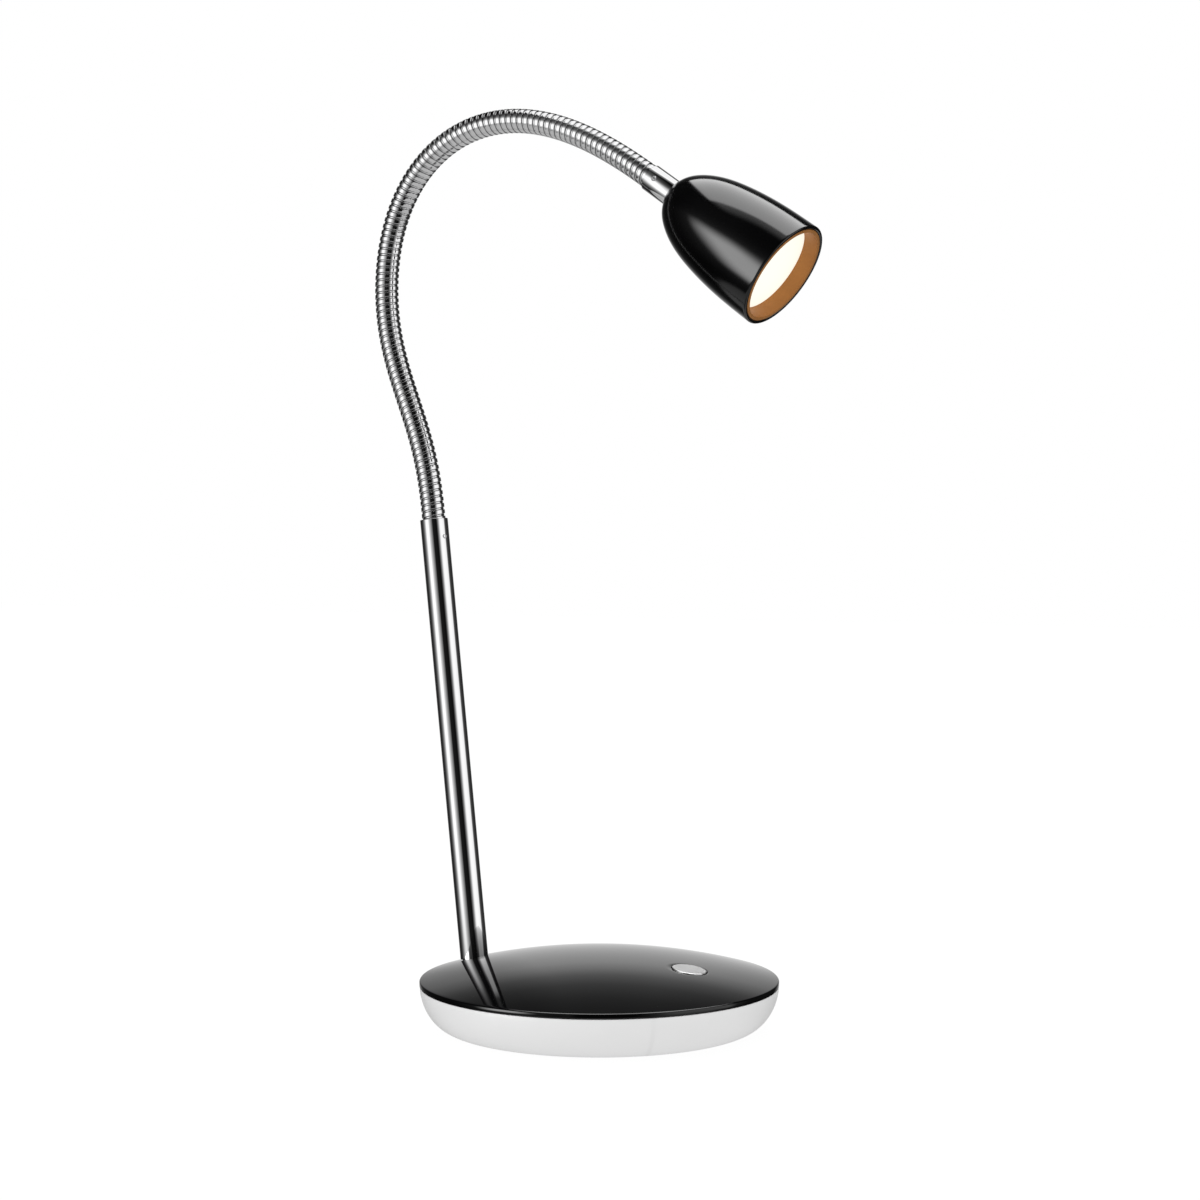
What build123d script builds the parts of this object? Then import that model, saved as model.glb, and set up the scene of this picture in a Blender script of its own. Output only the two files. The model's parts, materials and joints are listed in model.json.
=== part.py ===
"""Gooseneck desk lamp: weighted round base, leaning stem, ridged flexible neck and a tulip shade.

Frame: the origin is the centre of the foot pad's underside, +Z is up, and the arm bends in the
XZ plane with the shade on the +X side. All lengths are millimetres and all angles are degrees.
"""
from build123d import *
from math import asin, cos, degrees, exp, radians, sin, sqrt
import os

# base shells
base_radius = 75.0
dome_rise = 10.6
rim_band = 2.1
rim_corner = 0.8
bowl_height = 17.3
bowl_flare = 12.4
bowl_inset = 0.1
cover_wall = 2.0
bowl_wall = 2.2
lip_depth = 2.5
lip_wall = 1.4
pad_thickness = 1.0
pad_proud = 0.5
pad_margin = 4.6

# ballast
weight_margin = 6.6
weight_inner_radius = 22.0
weight_thickness = 9.0
weight_slot_width = 24.0

# stem
stem_inset = 13.9
stem_lean = 6.1
stem_length = 189.6
tube_radius = 6.0
tube_wall = 0.8
seat_gap = 0.5
plug_bore = 3.0
plug_insert = 12.0
stem_boss_radius = 10.0
stem_boss_depth = 3.8
washer_thickness = 1.0
washer_radius = 9.0
nut_flats = 16.0
nut_thickness = 4.0
plug_tail = 1.2

# flexible neck
neck_crest = 5.1
neck_groove = 4.6
neck_bore = 2.7
neck_pitch = 2.728
neck_links = 20
turns_per_link = 5
end_turns = 1.5
stem_grip_turns = 4
ferrule_grip_turns = 2
neck_sides = 8
bore_sides = 6
link_gap = 0.8
# each rest bend of the neck: its turn, where its middle lies and how far it spreads,
# the last two as shares of the visible neck
neck_bends = ((25.0, 0.0976, 0.0442), (-11.9, 0.2911, 0.0371), (-150.5, 0.6102, 0.1276))

# leads
lead_radius = 1.5
switch_lead_radius = 1.1
switch_bend = 2.5

# head
ferrule_length = 13.0
ferrule_radius = 5.7
nipple_radius = 4.0
nipple_bore = 2.2
nipple_insert = 4.5
nipple_reach = 20.0
shade_length = 60.5
shade_radius = 23.0
shade_wall = 2.0
shade_shoulder = 6.3
shade_floor = 3.0
floor_ramp = 1.5
lip_corner = 0.5
head_nut_flats = 12.0
head_nut_thickness = 3.0
sink_radius = 15.5
sink_hub_radius = 7.0
sink_front = 28.0
sink_thickness = 6.0
board_radius = 12.0
board_thickness = 1.6
recess_depth = 6.3
diffuser_thickness = 2.0
ring_wall = 0.6
ring_taper = 0.4
ledge_width = 1.4
ledge_thickness = 1.0

# push button and switch
button_inset = 33.0
button_radius = 7.2
button_gap = 0.35
button_proud = 0.3
button_travel = 1.5
button_flange = 1.0
button_flange_height = 1.2
button_stem_radius = 2.0
collar_radius = 11.0
switch_flange = 1.5
switch_size = (13.0, 11.0, 6.5)

# cord entry and terminal block
gland_height = 7.6
gland_radius = 3.6
gland_bore = 2.7
gland_flange = 1.2
gland_flange_thickness = 1.0
gland_proud = 1.5
terminal_size = (20.0, 14.0, 9.0)
terminal_well = 4.0

# clearances
running_gap = 0.05
fit_gap = 0.1
easy_gap = 0.3

# heights and places worked out from the sizes above
bowl_foot_radius = base_radius - bowl_flare
pad_radius = bowl_foot_radius - pad_margin
weight_radius = bowl_foot_radius - weight_margin
stem_circle = base_radius - stem_inset
button_circle = base_radius - button_inset
bowl_floor_z = pad_proud + bowl_wall
parting_z = pad_proud + bowl_height
rim_z = parting_z + rim_band
dome_radius = (base_radius**2 + dome_rise**2) / (2 * dome_rise)
dome_centre_z = rim_z + dome_rise - dome_radius
tube_bore = tube_radius - tube_wall
plug_radius = tube_bore - running_gap
visible_turns = neck_links * turns_per_link + 2 * end_turns
neck_length = visible_turns * neck_pitch


def dome_z(radius, drop=0.0):
    """Height of the domed cover at a radius, or of a dome that lies a drop below it."""
    return dome_centre_z + sqrt((dome_radius - drop) ** 2 - radius**2)


def plane_along(x, z, direction):
    """A plane in the arm's plane whose normal points along a direction, counted up from +X."""
    a = radians(direction)
    return Plane(origin=(x, 0, z), x_dir=(sin(a), 0, -cos(a)), z_dir=(cos(a), 0, sin(a)))


def seat_drop():
    """How far the stem's seat is sunk: its outer edge keeps seat_gap above the falling dome."""
    slope = asin(stem_circle / dome_radius) - radians(stem_lean)
    return tube_radius * slope - seat_gap


stem_plane = plane_along(-stem_circle, dome_z(stem_circle), 90.0 + stem_lean).offset(-seat_drop())
button_tilt = degrees(asin(button_circle / dome_radius))
button_plane = plane_along(button_circle, dome_z(button_circle), 90.0 - button_tilt)


def neck_direction(s):
    """Direction of the neck at a length s from the stem's mouth: smooth bends added to the lean."""
    share = min(max(s / neck_length, 0.0), 1.0)

    def turned(at):
        return sum(turn / (1 + exp((middle - at) / spread)) for turn, middle, spread in neck_bends)

    return 90.0 + stem_lean + turned(share) - turned(0.0)


def walk_neck():
    """Points and directions at every half turn of the visible neck, from its mouth to its end."""
    mouth = stem_plane.offset(stem_length).origin
    x, z, points = mouth.X, mouth.Z, []
    step = neck_pitch / 2
    for i in range(int(2 * visible_turns) + 1):
        points.append((x, z, neck_direction(i * step)))
        middle = radians(neck_direction((i + 0.5) * step))
        x, z = x + step * cos(middle), z + step * sin(middle)
    return points


neck_points = walk_neck()


def neck_plane(half_turn, shift=0.0):
    """Plane across the neck at a half turn; beyond the visible ends the neck runs straight."""
    last = len(neck_points) - 1
    inside = min(max(half_turn, 0), last)
    extra = (half_turn - inside) * neck_pitch / 2
    return plane_along(*neck_points[inside]).offset(extra + shift)


head_plane = neck_plane(len(neck_points) - 1)
shade_plane = head_plane.offset(ferrule_length)


def ring(outer, inner, start, end):
    """A plain tube or washer about the local Z axis."""
    part = Pos(0, 0, (start + end) / 2) * Cylinder(outer, end - start)
    return part - Pos(0, 0, (start + end) / 2) * Cylinder(inner, 2 * (end - start))


def rod(radius, start, end):
    """A plain round bar about the local Z axis."""
    return Pos(0, 0, (start + end) / 2) * Cylinder(radius, end - start)


def hex_nut(flats, bore, start, thickness):
    """A hexagon nut about the local Z axis."""
    blank = extrude(Plane.XY.offset(start) * RegularPolygon(flats / sqrt(3), 6), thickness)
    return blank - rod(bore, start - 1, start + thickness + 1)


def profile(*edges):
    """A face from edges drawn with X as radius and Y as height."""
    return make_face(Curve() + list(edges))


def eased(face, corner, size):
    """The face with the corner nearest a place cut off at a bevel."""
    return chamfer(face.vertices().sort_by_distance(corner)[0], size)


def turned(face):
    """Solid of revolution of a profile about the local Z axis."""
    return revolve(Plane.XZ * face, Axis.Z)


# ---- base -------------------------------------------------------------------------------


def base_cover():
    """Glossy domed cover: shell, locating lip, stem seat and button collar."""
    r, top = base_radius, rim_z + dome_rise
    inner_r = r - cover_wall
    mid = 0.5 * r
    inner_top = dome_z(inner_r, cover_wall)
    section = profile(
        ThreePointArc((0, top), (mid, dome_z(mid)), (r, rim_z)),
        Polyline((r, rim_z), (r, parting_z), (inner_r, parting_z), (inner_r, inner_top)),
        ThreePointArc((inner_r, inner_top), (mid, dome_z(mid, cover_wall)), (0, top - cover_wall)),
        Line((0, top - cover_wall), (0, top)),
    )
    shell = turned(eased(section, (r, rim_z), rim_corner))
    lip_outer = base_radius - bowl_inset - bowl_wall - easy_gap
    shell += ring(lip_outer, lip_outer - lip_wall, parting_z - lip_depth, rim_z)
    under_dome = Pos(0, 0, dome_centre_z) * Sphere(dome_radius - cover_wall / 2)
    shell += (stem_plane * rod(stem_boss_radius, -stem_boss_depth, cover_wall)) & under_dome
    shell += (button_plane * rod(collar_radius, -collar_depth(), 0)) & under_dome
    shell -= stem_plane * rod(tube_radius + fit_gap, 0, 2 * cover_wall)
    shell -= stem_plane * rod(plug_radius + fit_gap, -2 * stem_boss_depth, 2 * cover_wall)
    shell -= button_plane * rod(button_radius + button_gap, -2 * collar_depth(), cover_wall)
    return shell - button_plane * rod(button_radius + button_flange + easy_gap, -2 * collar_depth(), -cover_wall)


def base_bowl():
    """White lower housing: curved bowl, pad recess and the hole for the cord gland."""
    foot, rim = bowl_foot_radius, base_radius - bowl_inset
    width, height = rim - foot, parting_z - pad_proud
    half = sqrt(0.5)
    section = profile(
        Line((0, pad_proud), (foot, pad_proud)),
        EllipticalCenterArc((foot, parting_z), width, height, start_angle=270),
        Polyline(
            (rim, parting_z),
            (rim - bowl_wall, parting_z),
            (rim - bowl_wall, parting_z - lip_depth - easy_gap),
            (foot + half * (width - bowl_wall), parting_z - half * (height - bowl_wall)),
            (foot, bowl_floor_z),
            (0, bowl_floor_z),
            (0, pad_proud),
        ),
    )
    shell = turned(section) - rod(pad_radius + fit_gap, 0, pad_thickness)
    return shell - gland_plane() * rod(gland_radius + fit_gap, weight_radius, 2 * base_radius)


def base_weight():
    """Steel ballast ring on the bowl's floor, slotted under the stem for the terminal and leads."""
    weight = ring(weight_radius, weight_inner_radius, bowl_floor_z, bowl_floor_z + weight_thickness)
    return weight - Pos(-weight_radius, 0, 0) * Box(2 * weight_radius, weight_slot_width, 2 * base_radius)


def foot_pad():
    """Soft disc under the base; its underside is the origin plane."""
    return rod(pad_radius, 0, pad_thickness)


# ---- cord entry -------------------------------------------------------------------------


def gland_plane():
    """Axis of the cord's hole through the bowl's rear wall; local +Z points out of the base."""
    return Plane(origin=(0, 0, gland_height), x_dir=(0, 1, 0), z_dir=(-1, 0, 0))


def bowl_radius(z):
    """Radius of the bowl's curved wall at a height."""
    share = (parting_z - z) / bowl_height
    return bowl_foot_radius + (base_radius - bowl_inset - bowl_foot_radius) * sqrt(1 - share**2)


def cord_gland():
    """Rubber bush in the rear wall, with a flange inside."""
    outer = bowl_radius(gland_height) + gland_proud
    back = bowl_foot_radius - gland_flange_thickness
    bush = ring(gland_radius, gland_bore, back, outer)
    flange = ring(gland_radius + gland_flange, gland_bore, back, bowl_foot_radius)
    return gland_plane() * (bush + flange)


def terminal_place():
    """The terminal block stands on the bowl's floor in the middle of the ballast ring."""
    return Pos(0, 0, bowl_floor_z)


def terminal_block():
    """Terminal block with two open clamp wells."""
    x, y, z = terminal_size
    block = Pos(0, 0, z / 2) * Box(x, y, z)
    for side in (-1, 1):
        block -= Pos(side * x / 4, 0, z) * Box(terminal_well, terminal_well, terminal_well)
    return terminal_place() * block


# ---- button and switch ------------------------------------------------------------------


def collar_depth():
    """Depth of the button's collar under the cover: the flange, its travel and clearance."""
    return cover_wall + button_flange_height + button_travel + 3 * easy_gap


def push_button():
    """Satin cap with a retaining flange and the stem that works the switch."""
    flange_top = -cover_wall - fit_gap
    flange_low = flange_top - button_flange_height
    cap = rod(button_radius, flange_low, button_proud)
    cap += rod(button_radius + button_flange, flange_low, flange_top)
    cap += rod(button_stem_radius, -collar_depth() - switch_flange, flange_low)
    return button_plane * cap


def switch_body():
    """Latching push switch: flange against the collar, and the housing with the stem's bore."""
    x, y, z = switch_size
    top = -collar_depth()
    body = rod(collar_radius, top - switch_flange, top)
    body += Pos(0, 0, top - switch_flange - z / 2) * Box(x, y, z)
    depth = switch_flange + button_travel + easy_gap
    return button_plane * (body - rod(button_stem_radius + running_gap, top - depth, top + 1))


# ---- stem -------------------------------------------------------------------------------


def stem_tube():
    """Straight chromed tube; its foot stands in the cover's recess."""
    return stem_plane * ring(tube_radius, tube_bore, 0, stem_length)


def stem_plug():
    """Threaded plug fixed in the tube's lower end; it passes through the cover."""
    tail = stem_boss_depth + washer_thickness + nut_thickness + plug_tail
    return stem_plane * ring(plug_radius, plug_bore, -tail, plug_insert)


def stem_washer():
    return stem_plane * ring(
        washer_radius, plug_radius + fit_gap, -stem_boss_depth - washer_thickness, -stem_boss_depth
    )


def stem_nut():
    low = -stem_boss_depth - washer_thickness - nut_thickness
    return stem_plane * hex_nut(nut_flats, plug_radius + running_gap, low, nut_thickness)


# ---- neck -------------------------------------------------------------------------------


def neck_piece(first, last, low_gap, high_gap):
    """A stretch of the wound neck between two half turns, as one ruled skin over its turns.

    Crests and grooves alternate at every half turn. A gap shortens an end that faces a joint.
    The turns are many, so each has a few flat sides and the links stay light.
    """
    outline, hollow = [], []
    for i in range(first, last + 1):
        shift = low_gap if i == first else -high_gap if i == last else 0.0
        radius = neck_groove if i % 2 == first_groove % 2 else neck_crest
        outline.append(neck_plane(i, shift) * RegularPolygon(radius, neck_sides))
        if i in (first, last):
            hollow.append(neck_plane(i, shift) * RegularPolygon(neck_bore, bore_sides))
    return loft(outline, ruled=True) - loft(hollow, ruled=True)


first_groove = int(2 * end_turns)
link_steps = 2 * turns_per_link


def neck_foot():
    """Lowest stretch of the neck, gripped in the stem's mouth."""
    return neck_piece(-2 * stem_grip_turns + 1, first_groove, 0.0, link_gap / 2)


def neck_link(number):
    """One link of the neck; each joint lies in the groove between two links."""
    first = first_groove + (number - 1) * link_steps
    return neck_piece(first, first + link_steps, link_gap / 2, link_gap / 2)


def neck_tail():
    """Uppermost stretch of the neck, gripped in the ferrule."""
    first = first_groove + neck_links * link_steps
    return neck_piece(first, len(neck_points) - 1 + 2 * ferrule_grip_turns, link_gap / 2, 0.0)


def supply_lead():
    """Lead from the stem's plug through stem, neck and ferrule to the light's board."""
    low = stem_plane.offset(-stem_boss_depth - washer_thickness - nut_thickness - plug_tail)
    joints = range(first_groove, len(neck_points), link_steps)
    planes = [low, neck_plane(0)] + [neck_plane(i) for i in joints] + [head_plane, shade_plane.offset(sink_front)]
    return loft([plane * RegularPolygon(lead_radius, bore_sides) for plane in planes], ruled=True)


def base_lead():
    """Lead from the terminal block to the end of the stem's lead."""
    end = stem_plane.offset(-stem_boss_depth - washer_thickness - nut_thickness - plug_tail)
    corner_z = bowl_floor_z + 2.2 * lead_radius
    corner = end.origin - end.z_dir * ((end.origin.Z - corner_z) / end.z_dir.Z)
    route = FilletPolyline(end.origin, corner, (-terminal_size[0] / 2, 0, corner_z), radius=2 * lead_radius)
    return sweep(Plane(origin=end.origin, z_dir=-end.z_dir) * RegularPolygon(lead_radius, bore_sides), route)


def switch_lead():
    """Lead from the terminal block over the ballast ring to the switch."""
    start = Vector(terminal_size[0] / 2, 0, bowl_floor_z + terminal_size[2] / 2)
    over = bowl_floor_z + weight_thickness + 3 * switch_lead_radius
    side = button_plane * Pos(-switch_size[0] / 2, 0, -collar_depth() - switch_flange - switch_size[2] / 2)
    end = side.position
    approach = end - button_plane.x_dir * switch_size[1] / 2
    rise = Vector(weight_inner_radius - 2 * switch_lead_radius, 0, over)
    route = FilletPolyline(start, start + Vector(2 * switch_lead_radius, 0), rise, approach, end, radius=switch_bend)
    return sweep(Plane(origin=start, z_dir=(1, 0, 0)) * RegularPolygon(switch_lead_radius, bore_sides), route)


# ---- head -------------------------------------------------------------------------------


def ferrule():
    """Chromed sleeve that joins the neck to the shade."""
    return head_plane * ring(ferrule_radius, tube_bore, 0, ferrule_length)


def head_nipple():
    """Hollow threaded nipple from the ferrule through the shade into the heat sink."""
    body = ring(nipple_radius, nipple_bore, 0, nipple_reach)
    return shade_plane * (body + ring(plug_radius, nipple_bore, -nipple_insert, 0))


def head_nut():
    """Nut that holds the shade on the nipple."""
    return shade_plane * hex_nut(head_nut_flats, nipple_radius + running_gap, shade_floor, head_nut_thickness)


def shade_outline():
    """Outer line of the shade from its shoulder to its mouth, as radius and length."""
    r, n = shade_radius, shade_length
    return Spline(
        (shade_shoulder, 0),
        (0.43 * r, 0.042 * n),
        (0.602 * r, 0.122 * n),
        (0.764 * r, 0.252 * n),
        (0.894 * r, 0.452 * n),
        (0.973 * r, 0.702 * n),
        (r, n - lip_corner),
    )


def inside_of(line, start):
    """The same line moved inwards by the shade's wall, from a share of its length to the mouth."""
    points = []
    for i in range(7):
        at = start + (1 - start) * i / 6
        along = line.tangent_at(at)
        points.append(line.position_at(at) + Vector(-along.Y, along.X) * shade_wall)
    points[-1] = Vector(shade_radius - shade_wall, shade_length - lip_corner)
    return Spline(*points)


def shade():
    """Tulip shade: one thin wall that thickens to a flat floor around the nipple."""
    outer = shade_outline()
    inner = inside_of(outer, 0.16)
    corner = inner @ 0
    outside, n = shade_radius, shade_length
    section = profile(
        Line((0, 0), (shade_shoulder, 0)),
        outer,
        Polyline(outer @ 1, (outside - lip_corner, n), (outside - shade_wall + lip_corner, n), inner @ 1),
        inner,
        Polyline(corner, (corner.X - floor_ramp, shade_floor), (0, shade_floor), (0, 0)),
    )
    return shade_plane * (turned(section) - rod(nipple_radius + fit_gap, -1, shade_floor + 1))


def inner_ring():
    """Copper-coloured ring that lines the mouth and carries the diffuser on its ledge."""
    mouth = shade_radius - shade_wall - fit_gap
    back = mouth - ring_taper
    depth = recess_depth + diffuser_thickness
    low, seat = shade_length - depth - ledge_thickness, shade_length - depth
    outline = Polyline(
        (back, low),
        (mouth, shade_length - easy_gap),
        (mouth - ring_wall, shade_length - easy_gap),
        (back - ring_wall, seat),
        (back - ring_wall - ledge_width, seat),
        (back - ring_wall - ledge_width, low),
        close=True,
    )
    return shade_plane * turned(profile(outline))


def diffuser():
    """Opal disc on the ring's ledge."""
    radius = shade_radius - shade_wall - fit_gap - ring_taper - ring_wall - fit_gap
    front = shade_length - recess_depth
    return shade_plane * rod(radius, front - diffuser_thickness, front)


def heat_sink():
    """Turned aluminium sink: a hub on the nipple and a disc that carries the board."""
    start = shade_floor + head_nut_thickness
    sink = rod(sink_hub_radius, start, sink_front) + rod(sink_radius, sink_front - sink_thickness, sink_front)
    sink -= rod(nipple_radius + running_gap, start - 1, nipple_reach)
    return shade_plane * (sink - rod(nipple_bore, start - 1, sink_front + 1))


def led_board():
    """Round board that carries the light source, on the sink's face."""
    return shade_plane * rod(board_radius, sink_front, sink_front + board_thickness)


# ---- all nodes --------------------------------------------------------------------------

nodes = {
    "base_cover": base_cover(),
    "base_bowl": base_bowl(),
    "base_weight": base_weight(),
    "foot_pad": foot_pad(),
    "cord_gland": cord_gland(),
    "terminal_block": terminal_block(),
    "push_button": push_button(),
    "switch_body": switch_body(),
    "stem_tube": stem_tube(),
    "stem_plug": stem_plug(),
    "stem_washer": stem_washer(),
    "stem_nut": stem_nut(),
    "neck_foot": neck_foot(),
    "neck_tail": neck_tail(),
    "supply_lead": supply_lead(),
    "base_lead": base_lead(),
    "switch_lead": switch_lead(),
    "ferrule": ferrule(),
    "head_nipple": head_nipple(),
    "head_nut": head_nut(),
    "shade": shade(),
    "inner_ring": inner_ring(),
    "diffuser": diffuser(),
    "heat_sink": heat_sink(),
    "led_board": led_board(),
}
for number in range(1, neck_links + 1):
    nodes[f"neck_link_{number:02d}"] = neck_link(number)

os.makedirs("parts", exist_ok=True)
for name, part in nodes.items():
    export_step(part, f"parts/{name}.step")
    print(name, round(part.volume, 1))
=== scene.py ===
import json
import math

import bmesh
import bpy
import numpy as np
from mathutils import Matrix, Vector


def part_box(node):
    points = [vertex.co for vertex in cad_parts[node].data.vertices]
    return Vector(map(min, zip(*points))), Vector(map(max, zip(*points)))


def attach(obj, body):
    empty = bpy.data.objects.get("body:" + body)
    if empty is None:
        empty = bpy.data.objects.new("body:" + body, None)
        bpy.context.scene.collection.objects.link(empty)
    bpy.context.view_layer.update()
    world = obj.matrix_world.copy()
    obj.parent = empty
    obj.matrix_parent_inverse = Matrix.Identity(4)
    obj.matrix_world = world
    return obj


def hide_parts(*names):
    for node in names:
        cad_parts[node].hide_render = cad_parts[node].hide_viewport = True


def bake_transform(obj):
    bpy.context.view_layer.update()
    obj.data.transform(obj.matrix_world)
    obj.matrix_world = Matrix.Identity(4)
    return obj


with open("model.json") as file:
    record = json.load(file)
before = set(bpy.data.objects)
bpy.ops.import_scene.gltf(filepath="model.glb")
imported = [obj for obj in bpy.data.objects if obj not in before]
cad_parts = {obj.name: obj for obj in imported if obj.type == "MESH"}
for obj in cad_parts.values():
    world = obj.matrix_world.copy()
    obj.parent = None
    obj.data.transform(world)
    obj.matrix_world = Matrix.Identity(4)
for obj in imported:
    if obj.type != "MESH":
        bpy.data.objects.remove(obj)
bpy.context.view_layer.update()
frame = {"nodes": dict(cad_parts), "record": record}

mm = 0.001
print("frame loaded:", len(frame["nodes"]), "nodes")


def boxMiddle(node):
    low, high = (np.array(c, dtype=float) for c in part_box(node))
    return (low + high) / 2


def unit(v):
    return np.array(v, dtype=float) / np.linalg.norm(v)


side = np.array([0.0, 1.0, 0.0])  # across the arm's plane
stemAxis = unit(boxMiddle("stem_tube") - boxMiddle("stem_plug"))
shadeAxis = unit(boxMiddle("diffuser") - boxMiddle("ferrule"))
joints = {j["name"]: j for j in frame["record"]["behaviour"]["joints"]}
neckJoints = sorted((j for n, j in joints.items() if n.startswith("neck_")),
                    key=lambda j: (j["name"].split("_")[-1], j["name"].split("_")[1] == "pan"))
pressAxis = -unit(joints["button_press"]["axis"])


# Two directions across an axis: the first in the arm's plane, the second square to both.
def acrossOf(axis):
    first = unit(np.cross(side, axis))
    return first, np.cross(axis, first)


# A mesh object from arrays, with doubles merged, normals outward and sharp edges by angle. A value
# for each point, where given, is kept as the attribute "seam" for the material: its share of painted shade.
def piece(name, verts, faces, material, body, sharp=35.0, seam=None):
    mesh = bpy.data.meshes.new(name)
    mesh.from_pydata(verts.tolist(), [], [tuple(int(i) for i in f) for f in faces])
    if seam is not None:
        mesh.attributes.new("seam", "FLOAT", "POINT").data.foreach_set("value", seam)
    work = bmesh.new()
    work.from_mesh(mesh)
    bmesh.ops.remove_doubles(work, verts=work.verts, dist=1e-7)
    bmesh.ops.dissolve_degenerate(work, edges=work.edges, dist=1e-8)
    bmesh.ops.recalc_face_normals(work, faces=work.faces)
    work.to_mesh(mesh)
    work.free()
    mesh.polygons.foreach_set("use_smooth", np.ones(len(mesh.polygons), dtype=bool))
    mesh.set_sharp_from_angle(angle=math.radians(sharp))
    mesh.materials.append(material)
    made = bpy.data.objects.new(name, mesh)
    bpy.context.scene.collection.objects.link(made)
    if body:
        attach(made, body)
    return made


# Quads between neighbouring rows and columns of a grid, each way open or closed.
def gridFaces(rows, cols, closeRows, closeCols):
    i = np.arange(rows if closeRows else rows - 1)[:, None]
    j = np.arange(cols if closeCols else cols - 1)[None, :]
    i2, j2 = (i + 1) % rows, (j + 1) % cols
    quads = [i * cols + j, i * cols + j2, i2 * cols + j2, i2 * cols + j]
    return np.stack([np.broadcast_to(q, (i.size, j.size)) for q in quads], axis=-1).reshape(-1, 4)


# Surface of revolution: outline (radius, along) in mm turned about an axis through a foot point.
def turned(name, outline, foot, axis, material, body, around=192, closed=True, sharp=35.0):
    out = np.array(outline, dtype=float) * mm
    angle = np.linspace(0, 2 * math.pi, around, endpoint=False)
    a, b = acrossOf(axis)
    ring = np.cos(angle)[:, None] * a + np.sin(angle)[:, None] * b
    points = np.asarray(foot) + out[:, 1, None, None] * axis + out[:, 0, None, None] * ring
    faces = gridFaces(len(out), around, closed, True)
    return piece(name, points.reshape(-1, 3), faces, material, body, sharp)


# Outline through corners (x, y, radius): each corner is an arc tangent to both of its sides, taken
# from one tangent point to the other by equal angles.
def softCorners(corners, steps=6):
    pts = [np.array(c[:2], dtype=float) for c in corners]
    out = []
    for k, (p, c) in enumerate(zip(pts, corners)):
        radius = c[2]
        before, after = pts[k - 1] - p, pts[(k + 1) % len(pts)] - p
        if radius <= 0 or np.linalg.norm(before) < 1e-9 or np.linalg.norm(after) < 1e-9:
            out.append(p)
            continue
        u, v = unit(before), unit(after)
        half = math.acos(np.clip(u @ v, -1, 1)) / 2
        reach = radius / math.tan(half)
        centre = p + unit(u + v) * radius / math.sin(half)
        start, end = p + u * reach - centre, p + v * reach - centre
        turn = np.linspace(0, 1, steps + 1)
        span = math.pi - 2 * half
        arc = np.sin((1 - turn) * span)[:, None] * start + np.sin(turn * span)[:, None] * end
        out.extend(centre + arc / math.sin(span))
    return np.array(out)


# Cubic through points at their knots, its slope and bend unbroken, with end slopes given or free.
def smoothThrough(knots, points, at, first=None, last=None):
    x, y = np.asarray(knots, dtype=float), np.asarray(points, dtype=float)
    h, n = np.diff(x), len(x)
    rows, right = np.zeros((n, n)), np.zeros((n, y.shape[1]))
    for i in range(1, n - 1):
        rows[i, i - 1], rows[i, i], rows[i, i + 1] = h[i], 2 * (h[i - 1] + h[i]), h[i - 1]
        right[i] = 3 * (h[i] * (y[i] - y[i - 1]) / h[i - 1] + h[i - 1] * (y[i + 1] - y[i]) / h[i])
    rows[0, :2], right[0] = (2, 1), 3 * (y[1] - y[0]) / h[0]
    rows[-1, -2:], right[-1] = (1, 2), 3 * (y[-1] - y[-2]) / h[-1]
    if first is not None:
        rows[0, :2], right[0] = (1, 0), first
    if last is not None:
        rows[-1, -2:], right[-1] = (0, 1), last
    slope = np.linalg.solve(rows, right)
    k = np.clip(np.searchsorted(x, at, side="right") - 1, 0, n - 2)
    t = ((at - x[k]) / h[k])[:, None]
    hk = h[k][:, None]
    value = ((1 + 2 * t) * (1 - t) ** 2 * y[k] + t * (1 - t) ** 2 * hk * slope[k]
             + t ** 2 * (3 - 2 * t) * y[k + 1] + t ** 2 * (t - 1) * hk * slope[k + 1])
    rate = (6 * t * (t - 1) * (y[k] - y[k + 1]) / hk + (1 - t) * (1 - 3 * t) * slope[k]
            + t * (3 * t - 2) * slope[k + 1])
    return value, rate


# A material and its shader, with the plain values set on the shader's own sockets.
def nodeMaterial(name, **sockets):
    material = bpy.data.materials.new(name)
    material.use_nodes = True
    shader = material.node_tree.nodes["Principled BSDF"]
    for label, value in sockets.items():
        shader.inputs[label.replace("_", " ")].default_value = value
    return material, material.node_tree, shader


# Noise in object space, in cycles per metre, stretched along the axes.
def noiseValue(tree, scale, detail=3.0, stretch=(1, 1, 1)):
    where = tree.nodes.new("ShaderNodeTexCoord")
    mapping = tree.nodes.new("ShaderNodeMapping")
    mapping.inputs["Scale"].default_value = stretch
    noise = tree.nodes.new("ShaderNodeTexNoise")
    noise.inputs["Scale"].default_value = scale
    noise.inputs["Detail"].default_value = detail
    tree.links.new(where.outputs["Object"], mapping.inputs["Vector"])
    tree.links.new(mapping.outputs["Vector"], noise.inputs["Vector"])
    return noise.outputs["Fac"]


# A value from 0 to 1 carried to a range.
def spread(tree, value, low, high):
    node = tree.nodes.new("ShaderNodeMapRange")
    node.inputs["To Min"].default_value = low
    node.inputs["To Max"].default_value = high
    tree.links.new(value, node.inputs["Value"])
    return node.outputs["Result"]


# Relief of a depth in metres under a value from 0 to 1.
def bump(tree, shader, value, depth, strength=1.0):
    node = tree.nodes.new("ShaderNodeBump")
    node.inputs["Distance"].default_value = depth
    node.inputs["Strength"].default_value = strength
    tree.links.new(value, node.inputs["Height"])
    tree.links.new(node.outputs["Normal"], shader.inputs["Normal"])


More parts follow.
